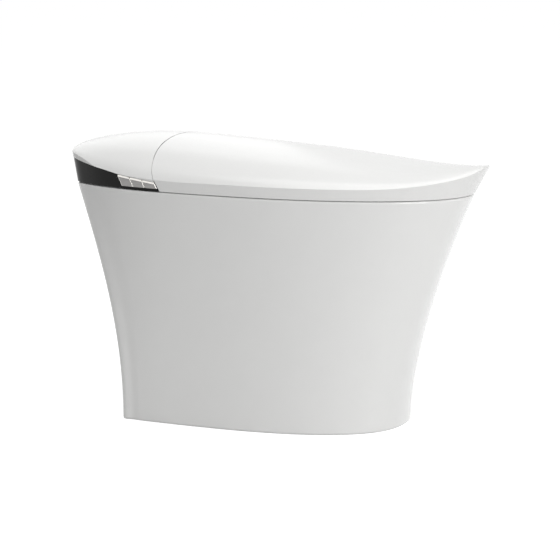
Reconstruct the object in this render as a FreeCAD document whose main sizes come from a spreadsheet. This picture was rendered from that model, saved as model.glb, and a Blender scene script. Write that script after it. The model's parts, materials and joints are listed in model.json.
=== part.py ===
# Tankless smart toilet with a heated seat.
# Frame: +Z up, front (nose) towards -Y, wall side towards +Y, +X to the seated user's left.
# The origin is at floor level, in the middle of the bounding box. Millimetres throughout.
import FreeCAD, Part
import Sketcher
import math
import os

Vector = FreeCAD.Vector
document = FreeCAD.newDocument("smart_toilet")
sheet = document.addObject("Spreadsheet::Sheet", "sizes")

SIZES = {
    # Ceramic pedestal: the plan outline at the floor and at the rim.
    "rim_height": 395.0,
    "rim_half_width": 180.0,
    "rim_centre_y": 22.9,
    "rim_nose": 354.6,
    "rim_tail": 359.4,
    "rim_back": 322.0,
    "rim_nose_power": 2.10,
    "rim_tail_power": 2.66,
    "foot_half_width": 160.0,
    "foot_centre_y": 100.0,
    "foot_nose": 318.9,
    "foot_tail": 270.3,
    "foot_back": 137.5,
    "foot_nose_power": 2.43,
    "foot_tail_power": 3.16,
    "flare_side_power": 2.25,
    "flare_nose_power": 1.56,
    "flare_back_power": 1.99,
    "flare_centre_power": 1.5,
    "back_corner_power": 60.0,
    "cover_back_lean": 0.24,
    "lid_nose_lean": 0.089,
    "ceramic_wall": 14.0,
    "deck_thickness": 14.0,
    "foot_round": 4.0,
    "rim_round": 3.0,
    # Bowl.
    "bowl_half_width": 120.0,
    "bowl_front_y": -287.0,
    "bowl_rear_y": 40.0,
    "bowl_floor_height": 140.0,
    "well_half_width": 44.0,
    "well_front_y": -152.0,
    "well_rear_y": -76.0,
    "bowl_wall": 12.0,
    # Trapway and floor outlet.
    "outlet_y": 55.0,
    "trap_bore_radius": 27.0,
    "trap_wall": 9.0,
    "weir_radius": 42.0,
    "weir_centre_height": 185.0,
    "trap_rise_angle": 50.0,
    "trap_leg": 100.0,
    "outlet_bore_radius": 38.0,
    "outlet_wall": 9.0,
    "outlet_lift": 18.0,
    "outlet_length": 52.0,
    "web_thickness": 12.0,
    "web_height": 55.0,
    # Service bay behind the bowl.
    "bay_front_y": 86.0,
    "bay_margin": 26.0,
    "notch_left_x": 62.0,
    "notch_right_x": -30.0,
    "notch_floor": 352.0,
    # Lid and rear cover.
    "seam_gap": 1.2,
    "crease_height": 415.0,
    "crease_rear_rise": 30.0,
    "crease_front_rise": 22.0,
    "crease_tip_rise": 9.0,
    "crown_back": 455.5,
    "crown_rear": 468.0,
    "crown_top": 473.0,
    "crown_seat": 467.5,
    "crown_waist": 457.5,
    "crown_front": 443.0,
    "crown_dip": 441.5,
    "crown_tip": 446.0,
    "crown_step": 74.0,
    "shell_wall": 3.2,
    "lid_seam_y": 149.0,
    "lid_seam_lean": 0.58,
    "lid_gap": 1.2,
    "tail_clearance": 0.7,
    # Hinge line.
    "hinge_y": 166.0,
    "hinge_height": 450.0,
    "hinge_pin_radius": 4.0,
    "running_clearance": 0.05,
    "knuckle_radius": 8.0,
    "ear_thickness": 8.0,
    "ear_inner_x": 30.0,
    "side_play": 1.0,
    "damper_start": 4.0,
    # Seat.
    "seat_lift": 3.5,
    "seat_base_thickness": 6.0,
    "seat_top_thickness": 11.5,
    "seat_margin": 9.0,
    "seat_rear_y": 96.0,
    "seat_hole_half_width": 108.0,
    "seat_hole_front_y": -252.0,
    "seat_hole_rear_y": 18.0,
    "heater_thickness": 0.8,
    "heater_margin": 12.0,
    "bumper_radius": 9.0,
    "liner_thickness": 2.5,
    "liner_height": 420.5,
    "liner_rear_y": 84.0,
    # Machine chassis.
    "chassis_thickness": 4.0,
    "fit_gap": 0.4,
    # Control side.
    "panel_rear_height": 438.6,
    "panel_corner_y": 234.0,
    "panel_corner_height": 419.6,
    "panel_front_height": 411.5,
    "panel_thickness": 2.6,
    "panel_wrap_x": 92.0,
    "key_pitch": 23.8,
    "key_slant": 0.52,
    "key_bottom": 400.2,
    "key_gap": 0.6,
    "key_depth": 6.0,
    "key_proud": 0.5,
    "key_travel": 1.5,
    "key_count": 3.0,
    # Spray wands, in a housing that slopes down towards the bowl.
    "wand_tip_y": 50.0,
    "wand_drop": 19.0,
    "wand_tilt": 15.0,
    "wand_radius": 7.0,
    "wand_spacing": 22.0,
    "wand_length": 112.0,
    "wand_tip_length": 16.0,
    "wand_bore_clearance": 0.25,
    "wand_housing_width": 44.0,
    "wand_housing_height": 19.0,
    "wand_housing_length": 96.0,
    "stepper_radius": 12.0,
    "stepper_thickness": 15.0,
    # Warm-air dryer.
    "duct_x": 28.0,
    "duct_width": 26.0,
    "duct_floor": 361.0,
    "duct_height": 20.0,
    "duct_front_y": 56.0,
    "duct_rear_y": 238.0,
    "duct_wall": 1.6,
    "duct_riser_depth": 22.0,
    "blower_x": 66.0,
    "blower_y": 260.0,
    "blower_radius": 34.0,
    "blower_height": 36.0,
    "impeller_radius": 28.0,
    "impeller_blades": 14.0,
    "shaft_radius": 2.0,
    # Deodoriser.
    "deodoriser_x": -70.0,
    "deodoriser_y": 256.0,
    "deodoriser_side": 48.0,
    "deodoriser_height": 18.0,
    "fan_radius": 20.5,
    "fan_blades": 7.0,
    "filter_length": 34.0,
    # Water path.
    "inlet_x": 85.0,
    "inlet_drop": 33.0,
    "inlet_thread_radius": 10.48,
    "inlet_end_y": 345.0,
    "valve_width": 30.0,
    "valve_depth": 31.0,
    "valve_front_y": 262.0,
    "valve_height": 42.0,
    "heater_box_width": 110.0,
    "heater_box_x": -60.0,
    "heater_box_height": 40.0,
    "hose_radius": 4.5,
    "flush_x": -88.0,
    "flush_front_y": 118.0,
    "flush_length": 84.0,
    "flush_width": 44.0,
    "flush_height": 52.0,
    "flush_tube_radius": 9.0,
    "flush_tube_drop": 29.0,
    # Electrics.
    "gland_x": -85.0,
    "gland_radius": 8.6,
    "cord_radius": 4.0,
    "gland_length": 47.0,
    "gland_setback": 61.0,
    "box_wall": 2.0,
    "control_box_x": 108.0,
    "control_box_y": 206.0,
    "control_box_width": 28.0,
    "control_box_length": 82.0,
    "control_box_height": 24.0,
    "power_box_x": -136.0,
    "power_box_y": 236.0,
    "power_box_width": 30.0,
    "power_box_length": 56.0,
    "power_box_height": 30.0,
    "board_margin": 0.5,
    "board_thickness": 1.6,
    "screw_radius": 2.5,
    "screw_head_radius": 5.0,
    "screw_head_height": 3.0,
    "screw_clearance": 0.25,
    "seal_radius": 52.0,
}


class Size:
    """A length that also keeps the spreadsheet expression it came from."""

    def __init__(self, value, text):
        self.value = float(value)
        self.text = text

    def __float__(self):
        return self.value

    def __add__(self, other):
        return Size(self.value + float(other), "(%s + %s)" % (self.text, words(other)))

    def __radd__(self, other):
        return Size(float(other) + self.value, "(%s + %s)" % (words(other), self.text))

    def __sub__(self, other):
        return Size(self.value - float(other), "(%s - %s)" % (self.text, words(other)))

    def __rsub__(self, other):
        return Size(float(other) - self.value, "(%s - %s)" % (words(other), self.text))

    def __mul__(self, other):
        return Size(self.value * float(other), "(%s * %s)" % (self.text, words(other)))

    def __rmul__(self, other):
        return self * other

    def __truediv__(self, other):
        return Size(self.value / float(other), "(%s / %s)" % (self.text, words(other)))

    def __neg__(self):
        return Size(-self.value, "(0 - %s)" % self.text)


def words(value):
    """The expression text of a size or of a plain number."""
    return value.text if isinstance(value, Size) else repr(float(value))


class Named:
    """Each size of the sheet as an attribute: size.rim_height."""


def read_sheet():
    size = Named()
    for row, (name, value) in enumerate(SIZES.items(), start=1):
        sheet.set("A%d" % row, name)
        sheet.set("B%d" % row, repr(value))
        sheet.setAlias("B%d" % row, name)
    document.recompute()
    for name in SIZES:
        setattr(size, name, Size(sheet.get(name), "sizes." + name))
    return size


size = read_sheet()
made = []

# Heights of what hangs under the deck, counted down from the rim.
FLUSH_TUBE_HEIGHT = size.rim_height - size.flush_tube_drop
WAND_HEIGHT = size.rim_height - size.wand_drop
INLET_HEIGHT = size.rim_height - size.inlet_drop


# ---------------------------------------------------------------- small building blocks

def bind(item, property_name, value):
    """Set a property from a size by expression, or from a plain number."""
    if isinstance(value, Size):
        item.setExpression(property_name, value.text)
    else:
        item.setExpression(property_name, words(value))


def place(item, corner):
    for axis, value in zip("xyz", corner):
        bind(item, "Placement.Base." + axis, value)
    return item


def box(corner, extent):
    """A box from its low corner and its three extents."""
    item = document.addObject("Part::Box", "box")
    for property_name, value in zip(("Length", "Width", "Height"), extent):
        bind(item, property_name, value)
    return place(item, corner)


def cylinder(centre, radius, length, along="z"):
    """A cylinder from its lower end, along one axis."""
    item = document.addObject("Part::Cylinder", "cylinder")
    bind(item, "Radius", radius)
    bind(item, "Height", length)
    turn = {"z": (Vector(0, 0, 1), 0), "x": (Vector(0, 1, 0), 90), "y": (Vector(1, 0, 0), -90)}
    item.Placement.Rotation = FreeCAD.Rotation(*turn[along])
    return place(item, centre)


def fuse(*items):
    item = document.addObject("Part::MultiFuse", "fuse")
    item.Shapes = list(items)
    return item


def cut(base, *tools):
    item = document.addObject("Part::Cut", "cut")
    item.Base = base
    item.Tool = tools[0] if len(tools) == 1 else fuse(*tools)
    return item


def common(*items):
    item = document.addObject("Part::MultiCommon", "common")
    item.Shapes = list(items)
    return item


def group(*items):
    """Several separate solids as one node."""
    item = document.addObject("Part::Compound", "group")
    item.Links = list(items)
    return item


def feature(shape):
    """A free-form solid whose faces come from a formula."""
    item = document.addObject("Part::Feature", "form")
    item.Shape = shape
    return item


def node(name, item):
    """Name a finished sub-part; its label is its file's name."""
    item.Label = name
    made.append(item)
    return item


def rounded(item, edges, radius):
    """Fillet the edges of an item that a test picks out."""
    document.recompute()
    chosen = [(number, float(radius), float(radius))
              for number, edge in enumerate(item.Shape.Edges, start=1) if edges(edge)]
    fillet = document.addObject("Part::Fillet", "fillet")
    fillet.Base = item
    fillet.Edges = chosen
    return fillet


def outline_body(points, thickness, role="YZ_Plane", offset=0.0):
    """A body padded from a straight-sided sketch whose corners are bound to sizes."""
    body = document.addObject("PartDesign::Body", "body")
    sketch = body.newObject("Sketcher::SketchObject", "sketch")
    plane = [item for item in body.Origin.OriginFeatures if item.Role == role][0]
    sketch.AttachmentSupport = [(plane, "")]
    sketch.MapMode = "FlatFace"
    corners = [Vector(float(across), float(up), 0) for across, up in points]
    for start, end in zip(corners, corners[1:] + corners[:1]):
        sketch.addGeometry(Part.LineSegment(start, end), False)
    count = len(points)
    for number in range(count):
        follower = (number + 1) % count
        sketch.addConstraint(Sketcher.Constraint("Coincident", number, 2, follower, 1))
    for number, (across, up) in enumerate(points):
        for kind, value in (("DistanceX", across), ("DistanceY", up)):
            index = sketch.addConstraint(
                Sketcher.Constraint(kind, -1, 1, number, 1, float(value)))
            if isinstance(value, Size):
                sketch.setExpression("Constraints[%d]" % index, value.text)
    pad = body.newObject("PartDesign::Pad", "pad")
    pad.Profile = sketch
    bind(pad, "Length", thickness)
    bind(sketch, "AttachmentOffset.Base.z", offset)
    body.Tip = pad
    return body


# ---------------------------------------------------------------- outer form

RING_POINTS = 60
RING_CROWDING = 0.3


def share(low, high, power, level):
    """A size that grows from its floor value to its rim value with the flare."""
    return float(low) + (float(high) - float(low)) * level ** float(power)


def plan_at(height):
    """The plan outline's measures at one height; above the rim the flare goes on."""
    level = height / float(size.rim_height)
    centre = share(size.foot_centre_y, size.rim_centre_y, size.flare_centre_power, level)
    foot_tip = size.foot_nose - size.foot_centre_y
    rim_tip = size.rim_nose - size.rim_centre_y
    nose = centre + share(foot_tip, rim_tip, size.flare_nose_power, level)
    if level <= 1.0:
        back = share(size.foot_back + size.foot_centre_y, size.rim_back + size.rim_centre_y,
                     size.flare_back_power, level) - centre
    else:
        rise = height - float(size.rim_height)
        back = float(size.rim_back + size.rim_centre_y) + rise * float(size.cover_back_lean) - centre
        nose += rise * float(size.lid_nose_lean)
    width = share(size.foot_half_width, size.rim_half_width, size.flare_side_power, level)
    tail = share(size.foot_tail, size.rim_tail, size.flare_back_power, level)
    tail_power = share(size.foot_tail_power, size.rim_tail_power, 1.0, level)
    back_width = width * (1.0 - (back / tail) ** tail_power) ** (1.0 / tail_power)
    return {
        "centre": centre,
        "width": width,
        "nose": nose,
        "tail": tail,
        "back": back,
        "nose_power": share(size.foot_nose_power, size.rim_nose_power, 1.0, level),
        "tail_power": tail_power,
        "corner": math.atan2(back_width, back),
    }


def reach(plan, angle, grow):
    """Distance from the plan's centre to the outline in one direction."""
    across = abs(math.cos(angle))
    along = math.sin(angle)
    length, power = ((plan["tail"], plan["tail_power"]) if along > 0
                     else (plan["nose"], plan["nose_power"]))
    curve = (across / (plan["width"] + grow)) ** power + (abs(along) / (length + grow)) ** power
    curve = curve ** (1.0 / power)
    flat = max(along, 0.0) / (plan["back"] + grow)
    corner = float(size.back_corner_power)
    return (curve ** corner + flat ** corner) ** (-1.0 / corner)


def closed_wire(points, steps):
    """A closed curve through the points, as smoothly joined stretches of ten steps each."""
    curve = Part.BSplineCurve()
    curve.interpolate(Points=points, PeriodicFlag=True, Parameters=steps)
    stops = steps[::10]
    return Part.Wire([curve.toShape(start, end) for start, end in zip(stops, stops[1:])])


def ring_steps():
    """Curve parameters that follow the length of the rim outline."""
    plan = plan_at(float(size.rim_height))
    points = [ring_point(plan, number, 0.0, 0.0) for number in range(RING_POINTS + 1)]
    steps = [0.0]
    for start, end in zip(points, points[1:]):
        steps.append(steps[-1] + start.distanceToPoint(end))
    return steps


RIM_CORNER = plan_at(float(size.rim_height))["corner"]


def ring_point(plan, number, height, grow):
    """One point of the outline; the same points stand at the rear corners at every height."""
    half = RING_POINTS / 2
    side = -1.0 if number > half else 1.0
    turn = math.pi * (2 * half - number if number > half else number) / half
    turn -= RING_CROWDING * math.sin(2 * turn)
    turn += (plan["corner"] - RIM_CORNER) * turn / RIM_CORNER * math.exp(1.0 - turn / RIM_CORNER)
    angle = math.pi / 2 + side * turn
    distance = reach(plan, angle, grow)
    return Vector(distance * math.cos(angle), plan["centre"] + distance * math.sin(angle), height)


def ring_wire(height, grow=0.0):
    """The closed outline at one height, moved outwards by grow."""
    plan = plan_at(height)
    points = [ring_point(plan, number, height, grow) for number in range(RING_POINTS)]
    return closed_wire(points, RING_STEPS)


RING_STEPS = ring_steps()


def flared(heights, grow=0.0):
    """The pedestal's form between several heights, moved outwards by grow."""
    return Part.makeLoft([ring_wire(height, grow) for height in heights], True, False)


def half_width_at(along, height, grow=0.0):
    """Half the width of the form at one place along it and one height."""
    plan = plan_at(height)
    low, high = -math.pi / 2, math.pi / 2
    if along <= plan["centre"] - reach(plan, low, grow):
        return 0.0
    for _ in range(40):
        middle = (low + high) / 2
        if plan["centre"] + reach(plan, middle, grow) * math.sin(middle) < along:
            low = middle
        else:
            high = middle
    return reach(plan, low, grow) * math.cos(low)


def upper_tip_y():
    """Where the lid's nose ends."""
    height = float(size.crown_tip)
    plan = plan_at(height)
    return plan["centre"] - plan["nose"]


def upper_back_y():
    plan = plan_at(float(size.crease_height + size.crease_rear_rise))
    return plan["centre"] + plan["back"]


def crease_at(along):
    """Height of the edge between the skirt and the domed top."""
    middle = (upper_back_y() + upper_tip_y()) / 2
    rear = max(0.0, (along - float(size.lid_seam_y)) / (upper_back_y() - float(size.lid_seam_y)))
    nose_start = middle - float(size.lid_seam_y)
    front = min(1.0, max(0.0, (nose_start - along) / (nose_start - upper_tip_y())))
    return (float(size.crease_height) + float(size.crease_rear_rise) * rear ** 1.9
            + float(size.crease_front_rise) * front ** 3 + float(size.crease_tip_rise) * front ** 25)


def crown_curve():
    """The centre line of the domed top, from the wall to the nose."""
    back, tip, step = upper_back_y(), upper_tip_y(), float(size.crown_step)
    stations = [
        (back + 12.0, size.crown_back - 3.0),
        (back, size.crown_back),
        (back - step * 0.8, size.crown_rear),
        (back - step * 1.75, size.crown_top),
        (back - step * 3.7, size.crown_seat),
        (back - step * 5.8, size.crown_waist),
        (tip + step * 1.6, size.crown_front),
        (tip + step * 0.8, size.crown_dip),
        (tip, size.crown_tip),
        (tip - 8.0, size.crown_tip + 1.0),
    ]
    curve = Part.BSplineCurve()
    curve.interpolate([Vector(0, along, float(height)) for along, height in stations])
    return curve


CROWN = crown_curve()


def crown_at(along):
    low, high = CROWN.FirstParameter, CROWN.LastParameter
    for _ in range(40):
        middle = (low + high) / 2
        if CROWN.value(middle).y > along:
            low = middle
        else:
            high = middle
    return CROWN.value(low).z


def dome_height(across, along):
    """Height of the domed top over one point of the plan."""
    crease, crown = crease_at(along), crown_at(along)
    width = max(half_width_at(along, crease), 12.0)
    spread = 1.0 + 2.0 / width
    drop = 1.0 - math.sqrt(max(0.0, 1.0 - (across / (width * spread * 1.012)) ** 2))
    full = 1.0 - math.sqrt(1.0 - (1.0 / (spread * 1.012)) ** 2)
    return crown - (crown - crease) * drop / full


def dome_section(along, lower):
    """One upright section through the dome, a little wider than the form itself."""
    width = max(half_width_at(along, crease_at(along)), 12.0) + 2.0
    count = 12
    points = []
    for number in range(count + 1):
        across = width * math.sin(math.pi * (number / count - 0.5))
        points.append(Vector(across, along, dome_height(across, along) - lower))
    arc = Part.BSplineCurve()
    arc.interpolate(Points=points, Parameters=[
        math.sin(math.pi * (number / count - 0.5)) for number in range(count + 1)])
    floor = float(size.rim_height) - 25.0
    right = Vector(-width, along, floor)
    left = Vector(width, along, floor)
    return Part.Wire([
        arc.toShape(),
        Part.makeLine(points[-1], left),
        Part.makeLine(left, right),
        Part.makeLine(right, points[0]),
    ])


def dome_block(lower=0.0):
    """Everything under the domed top."""
    back, tip = upper_back_y() + 10.0, upper_tip_y()
    stations = [back - (back - tip - 34.0) * number / 9.0 for number in range(10)]
    stations += [tip + 17.0, tip + 7.0, tip + 1.0, tip - 6.0]
    return Part.makeLoft([dome_section(along, lower) for along in stations], True, False)


def upper_form(offset=0.0):
    """Lid and cover in one piece, drawn in by an offset all round."""
    low = float(size.rim_height) + (0.1 if offset else float(size.seam_gap))
    top = float(size.crown_top) + 12.0
    heights = [low + (top - low) * number / 3.0 for number in range(4)]
    return flared(heights, -offset).common(dome_block(offset))


def seam_block(shift, behind):
    """Half space in front of, or behind, the leaning seam between lid and cover."""
    reach_far = 900.0
    rise = 200.0
    low = float(size.rim_height) - 60.0
    lean = float(size.lid_seam_lean)
    start = float(size.lid_seam_y) + shift + (low - float(size.rim_height)) * lean
    end = start + rise * lean
    side = reach_far if behind else -reach_far
    corners = [Vector(-300, start, low), Vector(-300, start + side, low),
               Vector(-300, end + side, low + rise), Vector(-300, end, low + rise)]
    return Part.Face(Part.makePolygon(corners + corners[:1])).extrude(Vector(600, 0, 0))


def prism(points, start_x, length):
    """A solid from a side-view polygon, run along X."""
    corners = [Vector(start_x, along, height) for along, height in points]
    return Part.Face(Part.makePolygon(corners + corners[:1])).extrude(Vector(length, 0, 0))


def tail_sweep():
    """The space that the lid's short tail turns through behind the hinge line."""
    pivot_y, pivot_z = float(size.hinge_y), float(size.hinge_height)
    lean = float(size.lid_seam_lean)
    profile = []
    for number in range(15):
        across = 10.0 * number
        height = float(size.crown_top)
        for _ in range(30):
            along = float(size.lid_seam_y) + lean * (height - float(size.rim_height))
            height = dome_height(across, along)
        if along <= pivot_y:
            break
        profile.append((across, math.hypot(along - pivot_y, height - pivot_z)))
    end = profile[-1][0] + 10.0
    radii = [radius + float(size.tail_clearance) for _, radius in profile]
    upper = [Vector(across, pivot_y, pivot_z + radius)
             for (across, _), radius in zip(profile, radii)]
    upper.append(Vector(end, pivot_y, pivot_z + radii[-1] * 0.86))
    right_side = [Vector(-point.x, point.y, point.z) for point in reversed(upper[1:])]
    curve = Part.BSplineCurve()
    curve.interpolate(right_side + upper)
    first, last = (right_side + upper)[0], upper[-1]
    face = Part.Face(Part.Wire([
        curve.toShape(),
        Part.makeLine(last, Vector(end, pivot_y, pivot_z)),
        Part.makeLine(Vector(end, pivot_y, pivot_z), Vector(-end, pivot_y, pivot_z)),
        Part.makeLine(Vector(-end, pivot_y, pivot_z), first),
    ]))
    return face.revolve(Vector(0, pivot_y, pivot_z), Vector(1, 0, 0), 360)


# ---------------------------------------------------------------- ceramic pedestal

def egg_wire(height, half_width, front_y, rear_y, power=2.25):
    """A closed oval between two places along the form, blunter towards the rear."""
    centre = front_y + (rear_y - front_y) * 0.54
    points = []
    for number in range(40):
        angle = 2 * math.pi * number / 40
        across, along = math.sin(angle), math.cos(angle)
        length = rear_y - centre if along > 0 else centre - front_y
        points.append(Vector(
            half_width * math.copysign(abs(across) ** (2 / power), across),
            centre + length * math.copysign(abs(along) ** (2 / power), along), height))
    return closed_wire(points, [float(number) for number in range(41)])


BOWL_STEPS = ((1.0, 0.0), (0.8, 0.12), (0.55, 0.42), (0.34, 0.72), (0.14, 0.93), (0.0, 1.0))


def bowl_form(grow, above):
    """The bowl from its opening down to the water well, moved outwards by grow."""
    top, floor = float(size.rim_height), float(size.bowl_floor_height)
    wires = []
    for rise, narrowing in BOWL_STEPS:
        height = floor + (top - floor) * rise
        if rise == 1.0:
            height += above
        if rise == 0.0:
            height -= grow
        width, front, rear = (
            float(wide) + (float(narrow) - float(wide)) * narrowing for wide, narrow in (
                (size.bowl_half_width, size.well_half_width),
                (size.bowl_front_y, size.well_front_y),
                (size.bowl_rear_y, size.well_rear_y)))
        wires.append(egg_wire(height, width + grow, front - grow, rear + grow))
    return Part.makeLoft(wires, True, False)


def trap_form(radius, extra):
    """The trapway: up from the well, over the weir and straight down to the floor."""
    tilt = math.radians(float(size.trap_rise_angle))
    bend, middle = float(size.weir_radius), float(size.weir_centre_height)
    centre = Vector(0, float(size.outlet_y) - bend, middle)
    start = centre + Vector(0, -math.sin(tilt), math.cos(tilt)) * bend
    top = centre + Vector(0, math.sin(math.pi / 4 - tilt / 2), math.cos(math.pi / 4 - tilt / 2)) * bend
    end = centre + Vector(0, bend, 0)
    leg = float(size.trap_leg) + extra
    well = start - Vector(0, math.cos(tilt), math.sin(tilt)) * leg
    path = Part.Wire([
        Part.makeLine(well, start),
        Part.Arc(start, top, end).toShape(),
        Part.makeLine(end, Vector(0, end.y, float(size.outlet_lift) - extra)),
    ])
    ring = Part.Wire([Part.Circle(well, start - well, radius).toShape()])
    return path.makePipeShell([ring], True, False)


def ceramic():
    """One casting: flared skirt, deck, bowl, trapway and service bay."""
    top = float(size.rim_height)
    deck_under = top - float(size.deck_thickness)
    wall = float(size.ceramic_wall)
    skirt_levels = [top * step for step in (0.0, 0.16, 0.34, 0.52, 0.70, 0.86, 1.0)]
    outer = flared(skirt_levels)
    foot_edges = [edge for edge in outer.Edges if edge.BoundBox.ZMax < 1.0]
    outer = outer.makeFillet(float(size.foot_round), foot_edges)
    rim_edges = [edge for edge in outer.Edges
                 if edge.BoundBox.ZMin > top - 1.0 and edge.BoundBox.ZMax < top + 1.0]
    outer = outer.makeFillet(float(size.rim_round), rim_edges)
    inner_levels = [0.0] + [deck_under * step for step in (0.16, 0.34, 0.52, 0.70, 0.86, 1.0)]
    hollow = flared(inner_levels, -wall)
    trap_outer = float(size.trap_bore_radius + size.trap_wall)
    bowl_outer = bowl_form(float(size.bowl_wall), -1.0)
    spigot_radius = float(size.outlet_bore_radius + size.outlet_wall)
    spigot = Part.makeCylinder(spigot_radius, float(size.outlet_length),
                               Vector(0, float(size.outlet_y), float(size.outlet_lift)))
    half_web = float(size.web_thickness) / 2
    web = Part.makeBox(400, 2 * half_web, float(size.web_height),
                       Vector(-200, float(size.outlet_y) - half_web, 0)).common(hollow)
    body = outer.cut(hollow).fuse([bowl_outer, trap_form(trap_outer, 0.0), spigot, web])
    bore = Part.makeCylinder(float(size.outlet_bore_radius), float(size.outlet_length) + 1.0,
                             Vector(0, float(size.outlet_y), float(size.outlet_lift) - 1.0))
    bay = Part.Face(ring_wire(deck_under - 1.0, -float(size.bay_margin))).extrude(
        Vector(0, 0, float(size.deck_thickness) + 2.0))
    bay = bay.common(Part.makeBox(600, 600, 600, Vector(-300, float(size.bay_front_y), 0)))
    notch_x, notch_y = float(size.notch_right_x), float(size.bowl_rear_y) - 22.0
    notch = Part.makeBox(float(size.notch_left_x) - notch_x,
                         float(size.bay_front_y) + 2.0 - notch_y, top,
                         Vector(notch_x, notch_y, float(size.notch_floor)))
    seal_space = ring_cylinder(size.seal_radius + 2.0, -1.0, float(size.outlet_lift), 0.0,
                               float(size.outlet_y))
    inside = [bowl_form(0.0, 1.0), trap_form(float(size.trap_bore_radius), 1.0), bore, bay, notch,
              seal_space]
    return body.cut(inside).removeSplitter()


def mirrored(solid):
    return solid.mirror(Vector(0, 0, 0), Vector(1, 0, 0))


def ring_cylinder(radius, low, high, across, along):
    return Part.makeCylinder(float(radius), high - low, Vector(across, along, low))


def y_cylinder(radius, start, end, across, height):
    return Part.makeCylinder(float(radius), end - start, Vector(across, start, height), Vector(0, 1, 0))


def ceramic_holes():
    """Round holes for the water inlet, the cord gland, the flush jet and the chassis screws."""
    play = float(size.fit_gap)
    holes = [
        y_cylinder(size.inlet_thread_radius + 3.5, 296.0, 350.0, float(size.inlet_x),
                   float(INLET_HEIGHT)),
        y_cylinder(size.gland_radius + play, 280.0, 350.0, float(size.gland_x),
                   float(INLET_HEIGHT)),
        y_cylinder(size.flush_tube_radius + play, -45.0, 60.0, float(size.flush_x),
                   float(FLUSH_TUBE_HEIGHT)),
    ]
    top, under = float(size.rim_height), float(size.rim_height - size.deck_thickness)
    for across, along in CHASSIS_SCREWS:
        holes.append(ring_cylinder(size.screw_radius, under - 1, top + 1, across, along))
    return holes


CHASSIS_SCREWS = ((-162.0, 130.0), (162.0, 130.0), (-70.0, 327.0), (70.0, 327.0))


# ---------------------------------------------------------------- lid, seat and hinge

UPPER = upper_form()
SHELL = UPPER.cut(upper_form(float(size.shell_wall)))
SEAT_TOP = size.rim_height + size.seat_lift + size.seat_base_thickness + size.seat_top_thickness


def lid_shell():
    return SHELL.common(seam_block(-float(size.lid_gap) / 2, False))


def lid_liner():
    """Flat inner panel that closes the lid from below."""
    height, thick = float(size.liner_height), float(size.liner_thickness)
    slab = Part.makeBox(500, 600, thick, Vector(-250, float(size.liner_rear_y) - 600, height))
    return upper_form(float(size.shell_wall) + 0.3).common(slab)


def pads(places, low, high):
    """Round rubber pads as separate solids of one node."""
    return group(*[cylinder((across, along, low), size.bumper_radius, high - low)
                   for across, along in places])


SEAT_PADS = ((-140.0, 20.0), (140.0, 20.0), (-127.0, -185.0), (127.0, -185.0))


def seat_ring(levels, low, high):
    """A ring of the seat between two heights: (height, outer inset, hole growth) per level."""
    outer = Part.makeLoft([ring_wire(height, -inset) for height, inset, _ in levels], True, False)
    outer = outer.common(Part.makeBox(
        500, 600, 60, Vector(-250, float(size.seat_rear_y) - 600, low - 10)))
    holes = [egg_wire(height, float(size.seat_hole_half_width) + growth,
                      float(size.seat_hole_front_y) - growth, float(size.seat_hole_rear_y) + growth)
             for height, _, growth in levels]
    return outer.cut(Part.makeLoft(holes, True, False))


def seat_parts():
    """Base, heater mat and top shell of the seat."""
    low = float(size.rim_height + size.seat_lift)
    middle = low + float(size.seat_base_thickness)
    top = float(SEAT_TOP)
    inset = float(size.seat_margin)
    base = seat_ring([(low, inset + 3, 2.0), (middle, inset, 0.0)], low, middle)
    shell = seat_ring([(middle, inset, 0.0), ((middle + top) / 2 + 1, inset + 0.8, 0.8),
                       (top, inset + 8, 8.0)], middle, top)
    edge, mat = float(size.heater_margin), float(size.heater_thickness)
    pocket = seat_ring([(middle, inset + edge, edge), (middle + mat + 0.15, inset + edge, edge)],
                       middle, top)
    mat_ring = seat_ring([(middle, inset + edge + 0.4, edge + 0.4),
                          (middle + mat, inset + edge + 0.4, edge + 0.4)], middle, top)
    trim = Part.makeBox(500, 40, 60, Vector(-250, float(size.seat_rear_y) - edge, low))
    return base, mat_ring.cut(trim), shell.cut(pocket.cut(trim))


def arm_places():
    """Low X of the inner ear, the seat arm, the lid arm and the outer ear."""
    step = size.ear_thickness + size.side_play
    return [size.ear_inner_x + step * number for number in range(4)]


def on_both_sides(make):
    """The same piece at the left and the right hinge, as two solids."""
    return group(make(1), make(-1))


def side_plate(points, low_x, thickness, side):
    """A plate in the side view between two places along X, on either side."""
    start = low_x if side > 0 else -(low_x + thickness)
    return outline_body(points, thickness, "YZ_Plane", start)


def knuckle(low_x, thickness, side, radius):
    start = low_x if side > 0 else -(low_x + thickness)
    return cylinder((start, size.hinge_y, size.hinge_height), radius, thickness, "x")


def hinge_piece(points, low_x, side):
    """A plate with a round knuckle bored for the hinge pin."""
    plate = side_plate(points, low_x, size.ear_thickness, side)
    around = knuckle(low_x, size.ear_thickness, side, size.knuckle_radius)
    bore = knuckle(low_x - 1, size.ear_thickness + 2, side,
                   size.hinge_pin_radius + size.running_clearance)
    return cut(fuse(plate, around), bore)


def lid_arm(side):
    pivot_y, pivot_z = size.hinge_y, size.hinge_height
    foot = size.liner_height + size.liner_thickness
    points = [(pivot_y, pivot_z + 7.5), (size.liner_rear_y + 4, pivot_z + 7.5),
              (size.liner_rear_y - 24, pivot_z - 10), (size.liner_rear_y - 24, foot),
              (size.liner_rear_y, foot), (pivot_y - 12, pivot_z - 9), (pivot_y, pivot_z - 7.5)]
    return hinge_piece(points, arm_places()[2], side)


def seat_arm(side):
    pivot_y, pivot_z = size.hinge_y, size.hinge_height
    low, rear = size.rim_height + size.seat_lift, size.seat_rear_y + 0.3
    points = [(pivot_y - 5, pivot_z + 6), (rear + 14, SEAT_TOP), (rear, SEAT_TOP - 3),
              (rear, low + 2), (rear + 20, low + 2), (pivot_y - 14, pivot_z - 26),
              (pivot_y + 6, pivot_z - 5)]
    return hinge_piece(points, arm_places()[1], side)


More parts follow.
